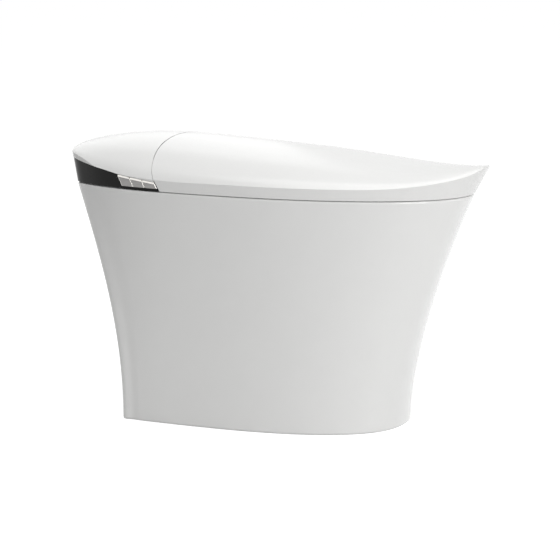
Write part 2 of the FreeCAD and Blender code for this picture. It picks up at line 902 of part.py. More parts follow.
def hinge_bracket(side):
    """Two bored ears on one foot plate."""
    pivot_y, pivot_z = size.hinge_y, size.hinge_height
    floor = size.rim_height + size.chassis_thickness
    points = [(pivot_y - 13, floor), (pivot_y + 10, floor), (pivot_y + 6, pivot_z),
              (pivot_y - 6, pivot_z)]
    places = arm_places()
    width = places[3] + size.ear_thickness - places[0]
    start = places[0] if side > 0 else -(places[0] + width)
    foot = box((start, pivot_y - 16, floor), (width, 42.0, 5.0))
    hole = cylinder((start + width / 2, pivot_y + 19, floor - 1),
                    size.screw_radius + size.screw_clearance, 8.0)
    ears = [hinge_piece(points, places[index], side) for index in (0, 3)]
    return cut(fuse(foot, *ears), hole)


def hinge_pin(side):
    places = arm_places()
    length = places[3] + size.ear_thickness - places[0]
    return knuckle(places[0], length, side, size.hinge_pin_radius)


def damper(side):
    """Soft-close damper on the hinge line, seated against the inner ear of its bracket."""
    length = size.ear_inner_x - size.damper_start
    drum = knuckle(size.damper_start, length, side, size.knuckle_radius)
    collar = knuckle(size.damper_start + 2.0, 4.0, side, size.knuckle_radius + 1.5)
    return fuse(drum, collar)


# ---------------------------------------------------------------- rear cover and control side

def band(outer, inner):
    """The skin between two offsets of the flared form, above the rim."""
    low, high = float(size.rim_height) + 0.1, float(size.crown_top)
    heights = [low + (high - low) * number / 3.0 for number in range(4)]
    return flared(heights, outer).cut(flared(heights, inner))


def seam_y(height, shift=0.0):
    return float(size.lid_seam_y) + shift + (height - float(size.rim_height)) * float(size.lid_seam_lean)


def panel_top(along):
    """Height of the panel's upper edge, which breaks at one corner."""
    corner_y, corner_z = float(size.panel_corner_y), float(size.panel_corner_height)
    front_z, rear_z = float(size.panel_front_height), float(size.panel_rear_height)
    if along < corner_y:
        start = seam_y(front_z)
        return front_z + (corner_z - front_z) * (along - start) / (corner_y - start)
    return corner_z + (rear_z - corner_z) * (along - corner_y) / (upper_back_y() - corner_y)


def panel_outline(inset):
    """Side view of the opening for the panel, from the lid's seam to the wall end."""
    low = float(size.rim_height + size.seam_gap) + inset - (3.0 if inset == 0 else 0.0)
    front, corner = float(size.panel_front_height), float(size.panel_corner_y)
    shift = float(size.lid_gap) / 2 + inset
    end = upper_back_y() + 20.0
    return [(seam_y(low, shift), low), (seam_y(front, shift), front - inset),
            (corner, panel_top(corner) - inset), (end, panel_top(end) - inset), (end, low)]


def rear_cover():
    wrap = float(size.panel_wrap_x)
    opening = prism(panel_outline(0.0), -300.0, 300.0 - wrap)
    cover = SHELL.common(seam_block(float(size.lid_gap) / 2, True))
    return cover.cut([tail_sweep(), opening, mirrored(opening)])


def key_edge(number, height):
    """The slanting line in front of (or behind) a key, counted from the front."""
    front = seam_y(float(size.panel_front_height), float(size.lid_gap) / 2 + float(size.fit_gap))
    rise = height - float(size.panel_front_height)
    return front + number * float(size.key_pitch) + rise * float(size.key_slant)


def key_outline(first, last, inset, low=None):
    """Side view of one key, or of the whole row of keys."""
    half = float(size.key_gap) / 2 + inset
    low = float(size.key_bottom) if low is None else low
    points = []
    for number, shift in ((first, half), (last, -half)):
        height = float(size.panel_front_height)
        for _ in range(8):
            height = panel_top(key_edge(number, height) + shift) - 2 * half
        points.append((key_edge(number, height) + shift, height))
    front, rear = points
    return [(key_edge(first, low) + half, low), front, rear, (key_edge(last, low) - half, low)]


def key_cap(number):
    """One push key: a slice of the flared side."""
    skin = band(float(size.key_proud), -float(size.key_depth))
    return skin.common(prism(key_outline(number, number + 1, 0.0), -300.0, 200.0))


def side_panel(with_keys):
    """Black side panel; on the control side it also holds the tray behind the keys."""
    gap, thick = float(size.fit_gap), float(size.panel_thickness)
    wrap = float(size.panel_wrap_x) + gap
    outline = prism(panel_outline(gap), -300.0, 300.0 - wrap)
    panel = band(-0.3, -0.3 - thick).common(outline)
    if not with_keys:
        return mirrored(panel)
    count = int(float(size.key_count))
    depth = float(size.key_depth) + float(size.key_travel) + 1.0
    low = float(size.rim_height + size.seam_gap) + gap
    window = key_outline(0, count, -float(size.key_gap) / 2)
    window[0] = (window[0][0] - 3.0, window[0][1] - 0.3)
    window[1] = (window[1][0] - 3.0, window[1][1] + 3.0)
    window[2] = (window[2][0] + 3.0 * float(size.key_slant), window[2][1] + 3.0)
    window[3] = (window[3][0], window[3][1] - 0.3)
    tray = key_outline(0, count, -2.2, low)
    tray = prism(tray, -300.0, 200.0).common(outline)
    frame = band(-0.3, -depth - 2.0).common(tray)
    hollow = band(2.0, -depth).common(prism(window, -300.0, 200.0))
    return panel.fuse(frame).cut(hollow).removeSplitter()


def key_membrane():
    """Thin switch sheet with one dome behind each key."""
    count = int(float(size.key_count))
    depth = float(size.key_depth) + float(size.key_travel) + 1.0
    sheet_form = band(-depth - 2.3, -depth - 3.3)
    return sheet_form.common(prism(key_outline(0, count, 1.0), -300.0, 200.0))


# ---------------------------------------------------------------- chassis and machine parts

def chassis():
    """Moulded plate under the cover that carries the machine."""
    low, thick = float(size.rim_height), float(size.chassis_thickness)
    inset = float(size.shell_wall + size.fit_gap)
    plate = Part.Face(ring_wire(low, -inset)).extrude(Vector(0, 0, thick))
    front = float(size.seat_rear_y) + 2.0
    plate = plate.common(Part.makeBox(600, 600, 60, Vector(-300, front, low - 10)))
    tray_depth = float(size.key_depth + size.key_travel + size.fit_gap) + 4.4
    edge = Part.Face(ring_wire(low - 1, 5.0)).extrude(Vector(0, 0, thick + 2)).cut(
        Part.Face(ring_wire(low - 1, -tray_depth)).extrude(Vector(0, 0, thick + 2)))
    tray_end = key_edge(int(float(size.key_count)), float(size.rim_height)) + 6.0
    plate = feature(plate.cut(edge.common(Part.makeBox(
        200, tray_end - 145.0, 20, Vector(-300, 145.0, low - 5)))))
    half_housing = size.wand_housing_width / 2 + 1.5
    blower_x, blower_y = size.blower_x, size.blower_y
    under, tall = size.rim_height - 5.0, size.chassis_thickness + 10.0
    cuts = [
        box((-half_housing, 90.0, under), (half_housing * 2, 82.0, tall)),
        box((-half_housing - size.stepper_thickness, 90.0, under),
            (half_housing * 2 + size.stepper_thickness * 2, 56.0, tall)),
        box((-8.0, 160.0, under), (16.0, 48.0, tall)),
        box((size.duct_x - 1.0, size.duct_rear_y - 25.0, under),
            (size.duct_width + 2.0, 26.0, tall)),
        cylinder((blower_x, blower_y, under), 15.0, tall),
        cylinder((size.deodoriser_x, size.deodoriser_y, under), 15.0, tall),
    ]
    for across, along in CHASSIS_SCREWS:
        cuts.append(cylinder((across, along, under), size.screw_radius + size.screw_clearance, tall))
    for side in (-1.0, 1.0):
        places = arm_places()
        middle = (places[0] + places[3] + size.ear_thickness) / 2
        cuts.append(cylinder((middle * side, size.hinge_y + 19.0, under),
                             size.screw_radius + size.screw_clearance, tall))
    return cut(plate, *cuts)


def screw(across, along, head_floor, length):
    """A pan-head screw that points down."""
    return fuse(
        cylinder((across, along, head_floor), size.screw_head_radius, size.screw_head_height),
        cylinder((across, along, head_floor - length),
                 size.screw_radius - 0.05, length + 1.0))


def tilted(shape):
    """Turn a wand piece, modelled level, down towards the bowl."""
    pivot = Vector(0, float(size.wand_tip_y), float(WAND_HEIGHT))
    return shape.rotate(pivot, Vector(1, 0, 0), float(size.wand_tilt))


def wand_housing():
    width, height = float(size.wand_housing_width), float(size.wand_housing_height)
    start = float(size.wand_tip_y + size.wand_tip_length)
    middle, half = float(WAND_HEIGHT), float(size.wand_spacing) / 2
    block = Part.makeBox(width, float(size.wand_housing_length), height,
                         Vector(-width / 2, start, middle - height / 2))
    edges = [edge for edge in block.Edges if abs(edge.BoundBox.YLength) > 50]
    block = block.makeFillet(3.0, edges)
    radius = float(size.wand_radius + size.wand_bore_clearance)
    bores = [y_cylinder(radius, start - 1, start + float(size.wand_housing_length) - 3.0,
                        across, middle) for across in (-half, half)]
    return tilted(block.cut(bores))


def wand_tube(side):
    start = float(size.wand_tip_y + size.wand_tip_length)
    length = float(size.wand_length - size.wand_tip_length) - 8.0
    across = side * float(size.wand_spacing) / 2
    tube = y_cylinder(size.wand_radius, start, start + length, across, float(WAND_HEIGHT))
    return tilted(tube)


def wand_tip(side):
    """Nozzle head with a rounded nose and spray holes on its upper face."""
    start, radius = float(size.wand_tip_y), float(size.wand_radius)
    across, middle = side * float(size.wand_spacing) / 2, float(WAND_HEIGHT)
    head = y_cylinder(radius, start, start + float(size.wand_tip_length), across, middle)
    nose = [edge for edge in head.Edges if edge.BoundBox.YMax < start + 0.1]
    head = head.makeFillet(radius * 0.6, nose)
    holes = [ring_cylinder(0.7, middle, middle + radius + 1, across + shift, start + 7.0)
             for shift in (-2.2, 0.0, 2.2)]
    if side < 0:
        holes += [ring_cylinder(0.7, middle, middle + radius + 1, across + shift, start + 10.0)
                  for shift in (-1.1, 1.1)]
    return tilted(head.cut(holes))


def wand_stepper(side):
    """Drive motor on the side of the wand housing."""
    start = float(size.wand_housing_width) / 2 + 0.3
    thick = float(size.stepper_thickness) - 3.0
    along = float(size.wand_tip_y + size.wand_tip_length) + 62.0
    low = start if side > 0 else -(start + thick)
    drum = Part.makeCylinder(float(size.stepper_radius), thick,
                             Vector(low, along, float(WAND_HEIGHT) + 1.0), Vector(1, 0, 0))
    return tilted(drum)


def duct():
    """Rectangular air duct with an upturned rear end."""
    wall = size.duct_wall
    width, height = size.duct_width, size.duct_height
    length = size.duct_rear_y - size.duct_front_y
    rise = size.rim_height + size.chassis_thickness - size.duct_floor
    depth = size.duct_riser_depth
    outer = fuse(box((size.duct_x, size.duct_front_y, size.duct_floor), (width, length, height)),
                 box((size.duct_x, size.duct_rear_y - depth, size.duct_floor), (width, depth, rise)))
    inner = fuse(box((size.duct_x + wall, size.duct_front_y - 1, size.duct_floor + wall),
                     (width - wall * 2, length - wall + 1, height - wall * 2)),
                 box((size.duct_x + wall, size.duct_rear_y - depth + wall, size.duct_floor + wall),
                     (width - wall * 2, depth - wall * 2, rise)))
    return cut(outer, inner)


def duct_flap():
    """Flap that closes the air outlet, turning on a rod along its upper edge."""
    top = size.duct_floor + size.duct_height
    front = size.duct_front_y - 2.4
    plate = box((size.duct_x, front - 0.6, size.duct_floor + 0.5),
                (size.duct_width, 1.2, size.duct_height - 1.5))
    rod = cylinder((size.duct_x, front, top - 1.2), 1.5, size.duct_width, "x")
    return fuse(plate, rod)


def blower_housing():
    """Scroll housing with an inlet below and an outlet down into the duct."""
    floor = size.rim_height + size.chassis_thickness + 0.2
    wall, height = size.box_wall, size.blower_height
    x, y, radius = size.blower_x, size.blower_y, size.blower_radius
    depth = size.duct_riser_depth
    outlet = (size.duct_x, size.duct_rear_y - depth, floor)
    outer = fuse(cylinder((x, y, floor), radius, height),
                 box(outlet, (size.duct_width, depth + 14.0, height)))
    inner = fuse(cylinder((x, y, floor + wall), radius - wall, height - wall * 2),
                 box((size.duct_x + wall, size.duct_rear_y - depth + wall, floor - 1.0),
                     (size.duct_width - wall * 2, depth - wall * 2, height - wall + 1.0)),
                 box((size.duct_x + wall, size.duct_rear_y - depth + wall, floor + wall),
                     (size.duct_width - wall * 2, depth + 6.0, height - wall * 2)),
                 cylinder((x, y, floor - 1.0), 14.0, 5.0),
                 cylinder((x, y, floor + height - 4.0), size.shaft_radius + 1.5, 6.0))
    return cut(outer, inner)


def blower_motor():
    floor = size.rim_height + size.chassis_thickness + size.blower_height + 0.5
    case = cylinder((size.blower_x, size.blower_y, floor), 15.0, 17.0)
    bore = cylinder((size.blower_x, size.blower_y, floor - 1.0),
                    size.shaft_radius + size.running_clearance, 15.0)
    return cut(case, bore)


def wheel(across, along, floor, radius, height, blades, hub, shaft_top, radial):
    """A fan wheel: disc or hub, blades in a ring, and its shaft."""
    x, y, low, tall = float(across), float(along), float(floor), float(height)
    parts = [ring_cylinder(hub, low, low + tall, x, y),
             ring_cylinder(size.shaft_radius, low + tall - 1.0, float(shaft_top), x, y)]
    count = int(float(blades))
    for number in range(count):
        if radial:
            blade = Part.makeBox(8.0, 1.2, tall, Vector(x + float(radius) - 8.4, y - 0.6, low))
        else:
            length = float(radius) - float(hub) + 1.0
            blade = Part.makeBox(length, 9.0, 1.4, Vector(x + float(hub) - 1.0, y - 4.5, low + tall / 2))
            blade.rotate(Vector(x, y, low + tall / 2), Vector(1, 0, 0), 28.0)
        blade.rotate(Vector(x, y, 0), Vector(0, 0, 1), 360.0 * number / count)
        parts.append(blade)
    if radial:
        parts.append(ring_cylinder(radius, low + tall - 1.6, low + tall, x, y))
    return parts[0].fuse(parts[1:]).removeSplitter()


def impeller():
    floor = size.rim_height + size.chassis_thickness + 6.5
    top = size.rim_height + size.chassis_thickness + size.blower_height + 13.0
    return wheel(size.blower_x, size.blower_y, floor, size.impeller_radius,
                 size.blower_height - 13.0, size.impeller_blades, 5.0, top, True)


def deodoriser_frame():
    floor = size.rim_height + size.chassis_thickness
    x, y, side, tall = size.deodoriser_x, size.deodoriser_y, size.deodoriser_side, size.deodoriser_height
    case = box((x - side / 2, y - side / 2, floor), (side, side, tall))
    bore = cylinder((x, y, floor - 1.0), size.fan_radius + 1.0, tall + 2.0)
    bar = box((x - side / 2, y - 3.0, floor + tall - 3.0), (side, 6.0, 3.0))
    shaft_hole = cylinder((x, y, floor), size.shaft_radius + size.running_clearance, tall + 2.0)
    return cut(fuse(cut(case, bore), bar), shaft_hole)


def deodoriser_fan():
    floor = size.rim_height + size.chassis_thickness + 3.0
    top = size.rim_height + size.chassis_thickness + size.deodoriser_height - 0.3
    return wheel(size.deodoriser_x, size.deodoriser_y, floor, size.fan_radius, 10.0,
                 size.fan_blades, 8.0, top, False)


def carbon_filter():
    """Slide-in carbon cartridge beside the deodoriser, with a finger ridge."""
    floor = size.rim_height + size.chassis_thickness
    side = size.deodoriser_side
    start = size.deodoriser_y + side / 2 + 0.3
    low_x = size.deodoriser_x - side / 2
    case = box((low_x, start, floor), (side, size.filter_length, size.deodoriser_height + 6.0))
    ridge = box((low_x + side / 2 - 10.0, start + size.filter_length / 2 - 2.0,
                 floor + size.deodoriser_height + 6.0), (20.0, 4.0, 3.0))
    return fuse(case, ridge)


def water_inlet():
    """Threaded brass stub through the rear of the skirt, with its flange."""
    start = size.valve_front_y + size.valve_depth + 0.3
    x, height = size.inlet_x, INLET_HEIGHT
    stub = cylinder((x, start, height), size.inlet_thread_radius, size.inlet_end_y - start, "y")
    flange = cylinder((x, start, height), size.inlet_thread_radius + 2.5, 3.0, "y")
    bore = cylinder((x, start - 1.0, height), 6.5, size.inlet_end_y - start + 2.0, "y")
    return cut(fuse(stub, flange), bore)


def inlet_valve():
    """Solenoid valve body with its coil on top."""
    top = size.rim_height - 0.3
    x = size.inlet_x - size.valve_width / 2
    body = box((x, size.valve_front_y, top - size.valve_height),
               (size.valve_width, size.valve_depth, size.valve_height - 14.0))
    coil = cylinder((size.inlet_x, size.valve_front_y + size.valve_depth / 2,
                     top - 15.0), 12.0, 15.0)
    return fuse(body, coil)


def water_heater():
    """Instantaneous heater: a rounded tank with two ribs."""
    top = size.rim_height - 0.3
    tank = box((size.heater_box_x, size.valve_front_y, top - size.heater_box_height),
               (size.heater_box_width, size.valve_depth, size.heater_box_height))
    tank = rounded(tank, lambda edge: edge.BoundBox.XLength > 50, 5.0)
    return tank


def tube(points, radius, bend):
    """A hose along straight runs joined by arcs."""
    edges, start = [], points[0]
    for before, corner, after in zip(points, points[1:], points[2:]):
        back = (before - corner).normalize()
        ahead = (after - corner).normalize()
        half = back.getAngle(ahead) / 2
        reach_back = bend / math.tan(half)
        first, last = corner + back * reach_back, corner + ahead * reach_back
        inward = (back + ahead).normalize()
        middle = corner + inward * (bend / math.sin(half) - bend)
        edges += [Part.makeLine(start, first), Part.Arc(first, middle, last).toShape()]
        start = last
    edges.append(Part.makeLine(start, points[-1]))
    path = Part.Wire(edges)
    ring = Part.Wire([Part.Circle(points[0], points[1] - points[0], radius).toShape()])
    return path.makePipeShell([ring], True, False)


def supply_hose():
    """From the inlet valve to the heater."""
    y = float(size.valve_front_y + size.valve_depth / 2)
    z = float(size.rim_height) - 24.0
    start = float(size.inlet_x - size.valve_width / 2) - 0.3
    end = float(size.heater_box_x + size.heater_box_width) + 0.3
    return Part.makeCylinder(float(size.hose_radius), start - end, Vector(end, y, z), Vector(1, 0, 0))


def spray_hose():
    """From the heater forward and up to the wand housing."""
    z = float(size.rim_height) - 26.0
    tilt = math.radians(float(size.wand_tilt))
    length = float(size.wand_tip_length + size.wand_housing_length) + 0.4
    end = Vector(0, float(size.wand_tip_y) + length * math.cos(tilt),
                 float(WAND_HEIGHT) + length * math.sin(tilt))
    back = Vector(0, math.cos(tilt), math.sin(tilt))
    points = [Vector(0, float(size.valve_front_y) - 0.3, z), Vector(0, end.y + 52.0, z),
              end + back * 22.0, end]
    return tube(points, float(size.hose_radius), 16.0)


def flush_valve():
    """Flush valve body with its motor head."""
    x, y = size.flush_x, size.flush_front_y
    top = size.rim_height - 0.3
    body = box((x - size.flush_width / 2, y, top - size.flush_height),
               (size.flush_width, size.flush_length, size.flush_height - 16.0))
    body = rounded(body, lambda edge: edge.BoundBox.ZLength > 20, 6.0)
    head = cylinder((x, y + size.flush_length / 2, top - 17.0), 16.0, 17.0)
    return fuse(body, head)


def flush_tube():
    """From the flush valve forward to the jet in the bowl's wall."""
    end = float(size.flush_front_y) - 0.3
    return y_cylinder(size.flush_tube_radius, 8.0, end, float(size.flush_x),
                      float(FLUSH_TUBE_HEIGHT)).cut(
        y_cylinder(size.flush_tube_radius - 2.0, 7.0, end + 1.0, float(size.flush_x),
                   float(FLUSH_TUBE_HEIGHT)))


def flush_hose():
    """From the inlet valve across the bay to the flush valve."""
    z = float(size.rim_height - size.valve_height) + 6.0
    across = float(size.valve_front_y) - 19.0
    rear = float(size.flush_front_y + size.flush_length) + 0.3
    points = [Vector(float(size.inlet_x), float(size.valve_front_y) - 0.3, z),
              Vector(float(size.inlet_x), across, z),
              Vector(float(size.flush_x), across, z),
              Vector(float(size.flush_x), rear, z)]
    return tube(points, float(size.hose_radius) - 0.5, 12.0)


def cord_gland():
    """Gland for the mains cord in the rear of the skirt."""
    x, height = size.gland_x, INLET_HEIGHT
    start = size.inlet_end_y - size.gland_setback
    shank = cylinder((x, start, height), size.gland_radius, size.gland_length, "y")
    nut = cylinder((x, start, height), size.gland_radius + 3.0, 6.0, "y")
    bore = cylinder((x, start - 1.0, height), size.cord_radius, size.gland_length + 2.0, "y")
    return cut(fuse(shank, nut), bore)


def open_box(corner, extent):
    """A tray with a floor and four walls."""
    wall = size.box_wall
    x, y, z = corner
    length, width, height = extent
    return cut(box(corner, extent),
               box((x + wall, y + wall, z + wall), (length - wall * 2, width - wall * 2, height)))


def board(box_corner, box_extent, parts):
    """A circuit board with its larger components, on the floor of an open box."""
    inset, thick = size.box_wall + size.board_margin, size.board_thickness
    x, y, z = box_corner[0] + inset, box_corner[1] + inset, box_corner[2] + size.box_wall
    plate = box((x, y, z), (box_extent[0] - inset * 2, box_extent[1] - inset * 2, thick))
    blocks = [box((x + px, y + py, z + thick), (length, width, tall))
              for px, py, length, width, tall in parts]
    return fuse(plate, *blocks)


# Low X, low Y, width, length and height of each component, from the board's corner.
CONTROL_COMPONENTS = ((3.0, 6.0, 8.0, 8.0, 3.0), (3.0, 24.0, 12.0, 10.0, 8.0),
                      (4.0, 44.0, 9.0, 20.0, 10.0))
POWER_COMPONENTS = ((3.0, 4.0, 16.0, 16.0, 18.0), (4.0, 26.0, 12.0, 18.0, 12.0))


def outlet_seal():
    x, y = 0.0, size.outlet_y
    ring = cylinder((x, y, 1.0), size.seal_radius, size.outlet_lift - 1.3)
    return cut(ring, cylinder((x, y, 0.0), size.outlet_bore_radius, size.outlet_lift))


# ---------------------------------------------------------------- the assembly

def build():
    floor = size.rim_height + size.chassis_thickness
    node("ceramic_body", feature(ceramic().cut(ceramic_holes())))
    node("outlet_seal", outlet_seal())
    node("chassis_plate", chassis())
    node("chassis_screws", group(*[screw(x, y, floor, 16.0) for x, y in CHASSIS_SCREWS]))
    node("rear_cover", feature(rear_cover()))
    node("side_panel_right", feature(side_panel(True)))
    node("side_panel_left", feature(side_panel(False)))
    for number, name in enumerate(("key_wash", "key_dry", "key_flush")):
        node(name, feature(key_cap(number)))
    node("key_membrane", feature(key_membrane()))
    node("lid_shell", feature(lid_shell()))
    node("lid_liner", feature(lid_liner()))
    node("lid_pads", pads(SEAT_PADS, SEAT_TOP, size.liner_height))
    node("lid_arms", on_both_sides(lid_arm))
    base, mat, top = seat_parts()
    node("seat_base", feature(base))
    node("seat_heater_mat", feature(mat))
    node("seat_top", feature(top))
    node("seat_pads", pads(SEAT_PADS, size.rim_height, size.rim_height + size.seat_lift))
    node("seat_arms", on_both_sides(seat_arm))
    node("hinge_brackets", on_both_sides(hinge_bracket))
    places = arm_places()
    middle = (places[0] + places[3] + size.ear_thickness) / 2
    node("bracket_screws", group(*[
        screw(middle * side, size.hinge_y + 19.0, floor + 5.0, 8.0) for side in (-1.0, 1.0)]))
    node("hinge_pins", on_both_sides(hinge_pin))
    node("lid_damper", damper(1))
    node("seat_damper", damper(-1))
    node("wand_housing", feature(wand_housing()))
    node("rear_wand_tube", feature(wand_tube(-1)))
    node("rear_wand_nozzle", feature(wand_tip(-1)))
    node("front_wand_tube", feature(wand_tube(1)))
    node("front_wand_nozzle", feature(wand_tip(1)))
    node("rear_wand_stepper", feature(wand_stepper(-1)))
    node("front_wand_stepper", feature(wand_stepper(1)))
    node("dryer_duct", duct())
    node("dryer_flap", duct_flap())
    node("dryer_housing", blower_housing())
    node("dryer_motor", blower_motor())
    node("dryer_impeller", feature(impeller()))
    node("deodoriser_frame", deodoriser_frame())
    node("deodoriser_fan", feature(deodoriser_fan()))
    node("carbon_filter", carbon_filter())
    node("water_inlet", water_inlet())
    node("inlet_valve", inlet_valve())
    node("water_heater", water_heater())
    node("supply_hose", feature(supply_hose()))
    node("spray_hose", feature(spray_hose()))
    node("flush_valve", flush_valve())
    node("flush_tube", feature(flush_tube()))
    node("flush_hose", feature(flush_hose()))
    node("cord_gland", cord_gland())
    corner = (size.control_box_x, size.control_box_y, floor)
    extent = (size.control_box_width, size.control_box_length, size.control_box_height)
    node("control_box", open_box(corner, extent))
    node("control_board", board(corner, extent, CONTROL_COMPONENTS))
    corner = (size.power_box_x, size.power_box_y, floor)
    extent = (size.power_box_width, size.power_box_length, size.power_box_height)
    node("power_box", open_box(corner, extent))
    node("power_board", board(corner, extent, POWER_COMPONENTS))


def check_and_write():
    document.recompute()
    for item in document.Objects:
        if "Invalid" in item.State or "Error" in item.State:
            raise RuntimeError("%s (%s) failed: %s" % (item.Name, item.Label, item.State))
    for item in made:
        shape = item.Shape
        if shape.isNull() or not shape.isValid() or not shape.Solids:
            raise RuntimeError("%s has no valid solid" % item.Label)
    os.makedirs("parts", exist_ok=True)
    for item in made:
        item.Shape.exportStep(os.path.join("parts", item.Label + ".step"))
        print("%-22s %2d solids %10.1f cm3" % (
            item.Label, len(item.Shape.Solids), item.Shape.Volume / 1000.0))


build()
check_and_write()
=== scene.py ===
import json
import math

import bmesh
import bpy
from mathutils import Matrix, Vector

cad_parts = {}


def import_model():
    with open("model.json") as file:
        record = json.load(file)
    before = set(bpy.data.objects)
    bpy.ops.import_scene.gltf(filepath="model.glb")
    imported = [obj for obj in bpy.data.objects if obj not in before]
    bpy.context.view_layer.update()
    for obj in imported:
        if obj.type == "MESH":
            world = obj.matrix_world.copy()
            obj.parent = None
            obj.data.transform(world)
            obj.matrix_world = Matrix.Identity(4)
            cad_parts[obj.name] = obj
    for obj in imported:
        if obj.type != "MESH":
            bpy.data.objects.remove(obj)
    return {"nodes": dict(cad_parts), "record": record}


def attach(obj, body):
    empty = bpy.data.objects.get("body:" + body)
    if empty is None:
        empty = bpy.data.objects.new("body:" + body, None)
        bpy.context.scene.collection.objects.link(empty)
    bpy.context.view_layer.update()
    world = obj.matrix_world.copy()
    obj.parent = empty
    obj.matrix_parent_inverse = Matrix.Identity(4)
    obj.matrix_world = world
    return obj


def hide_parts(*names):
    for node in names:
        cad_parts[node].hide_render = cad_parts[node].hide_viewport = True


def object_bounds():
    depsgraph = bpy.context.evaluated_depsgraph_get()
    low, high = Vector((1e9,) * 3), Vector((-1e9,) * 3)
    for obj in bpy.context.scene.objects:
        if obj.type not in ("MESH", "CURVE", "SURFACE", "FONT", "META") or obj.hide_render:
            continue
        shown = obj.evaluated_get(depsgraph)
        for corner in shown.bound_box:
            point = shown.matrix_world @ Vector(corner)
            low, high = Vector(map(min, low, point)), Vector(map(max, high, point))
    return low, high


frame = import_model()
cad_low, cad_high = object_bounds()
centre = (cad_low + cad_high) / 2

# ---------------------------------------------------------------- camera

CAMERA_PLACE = Vector((-3.684, -1.648, 0.9426))
CAMERA_TARGET = Vector((0.0, 0.0106, 0.2302))
CAMERA_LENS = 155.0
CAMERA_SENSOR = 36.0
CAMERA_FAR_CLIP = 50.0


def put_in_scene(name, data):
    item = bpy.data.objects.new(name, data)
    bpy.context.scene.collection.objects.link(item)
    return item


def aim(item, place, target):
    """Stand a camera or a lamp at a place, facing a target."""
    item.location = place
    item.rotation_mode = "QUATERNION"
    item.rotation_quaternion = (Vector(target) - Vector(place)).to_track_quat("-Z", "Y")


def camera():
    data = bpy.data.cameras.new("camera")
    data.lens = CAMERA_LENS
    data.sensor_width = CAMERA_SENSOR
    data.clip_end = CAMERA_FAR_CLIP
    item = put_in_scene("camera", data)
    aim(item, CAMERA_PLACE, CAMERA_TARGET)
    bpy.context.scene.camera = item


# ---------------------------------------------------------------- light and floor

WORLD_LIGHT = 0.31
WORLD_SEEN = 1.0
WHITE = (1.0, 1.0, 1.0, 1.0)

FLOOR_REACH = 12.0
FLOOR_DROP = 0.0002
FLOOR_LIFT = 0.82
FLOOR_COLOUR = (0.58, 0.58, 0.58, 1.0)
FLOOR_ROUGHNESS = 0.9

# name, place, width, height, power
LAMPS = (
    ("top_lamp", (-0.3, -0.3, 2.6), 2.4, 2.4, 28.0),
    ("nose_lamp", (-1.6, -2.3, 1.3), 1.2, 1.6, 34.0),
    ("tip_lamp", (0.5, -2.6, 0.7), 0.8, 1.2, 8.0),
    ("side_lamp", (-2.2, -0.9, 1.8), 1.4, 1.2, 4.0),
    ("back_lamp", (2.0, 1.6, 1.6), 1.6, 1.6, 5.0),
)


def ray_is_seen(nodes, links):
    """1 for camera, glossy and transmission rays, 0 for the rays that light the object."""
    path = nodes.new("ShaderNodeLightPath")
    seen = path.outputs["Is Camera Ray"]
    for kind in ("Is Glossy Ray", "Is Transmission Ray"):
        either = nodes.new("ShaderNodeMath")
        either.operation = "MAXIMUM"
        links.new(seen, either.inputs[0])
        links.new(path.outputs[kind], either.inputs[1])
        seen = either.outputs[0]
    return seen


def world():
    """White where it is seen, and a dimmer, even light on the object."""
    item = bpy.data.worlds.new("world")
    item.use_nodes = True
    nodes, links = item.node_tree.nodes, item.node_tree.links
    background = nodes["Background"]
    background.inputs["Color"].default_value = WHITE
    strength = nodes.new("ShaderNodeMapRange")
    strength.inputs["To Min"].default_value = WORLD_LIGHT
    strength.inputs["To Max"].default_value = WORLD_SEEN
    links.new(ray_is_seen(nodes, links), strength.inputs["Value"])
    links.new(strength.outputs["Result"], background.inputs["Strength"])
    bpy.context.scene.world = item


def floor_material():
    look = bpy.data.materials.new("floor")
    look.use_nodes = True
    nodes, links = look.node_tree.nodes, look.node_tree.links
    shader = nodes["Principled BSDF"]
    shader.inputs["Base Color"].default_value = FLOOR_COLOUR
    shader.inputs["Roughness"].default_value = FLOOR_ROUGHNESS
    shader.inputs["Specular IOR Level"].default_value = 0.0
    shader.inputs["Emission Color"].default_value = WHITE
    lift = nodes.new("ShaderNodeMath")
    lift.operation = "MULTIPLY"
    lift.inputs[1].default_value = FLOOR_LIFT
    links.new(ray_is_seen(nodes, links), lift.inputs[0])
    links.new(lift.outputs[0], shader.inputs["Emission Strength"])
    return look


def floor():
    """A pale floor that reads as white and still takes the object's shadow."""
    mesh = bpy.data.meshes.new("floor")
    corners = [(x * FLOOR_REACH, y * FLOOR_REACH, 0) for x, y in ((-1, -1), (1, -1), (1, 1), (-1, 1))]
    mesh.from_pydata(corners, [], [(0, 1, 2, 3)])
    item = put_in_scene("floor", mesh)
    item.location.z = cad_low.z - FLOOR_DROP
    mesh.materials.append(floor_material())


def lamps():
    """Soft studio light: mostly from above and from beyond the nose."""
    for name, place, width, height, power in LAMPS:
        data = bpy.data.lights.new(name, "AREA")
        data.shape = "RECTANGLE"
        data.size = width
        data.size_y = height
        data.energy = power
        aim(put_in_scene(name, data), place, centre)


# ---------------------------------------------------------------- materials

COAT_ROUGHNESS = 0.04
LEAST_ROUGHNESS = 0.02
NOISE_DETAIL = 3.0
NOISE_LOW = 0.3
NOISE_HIGH = 0.7


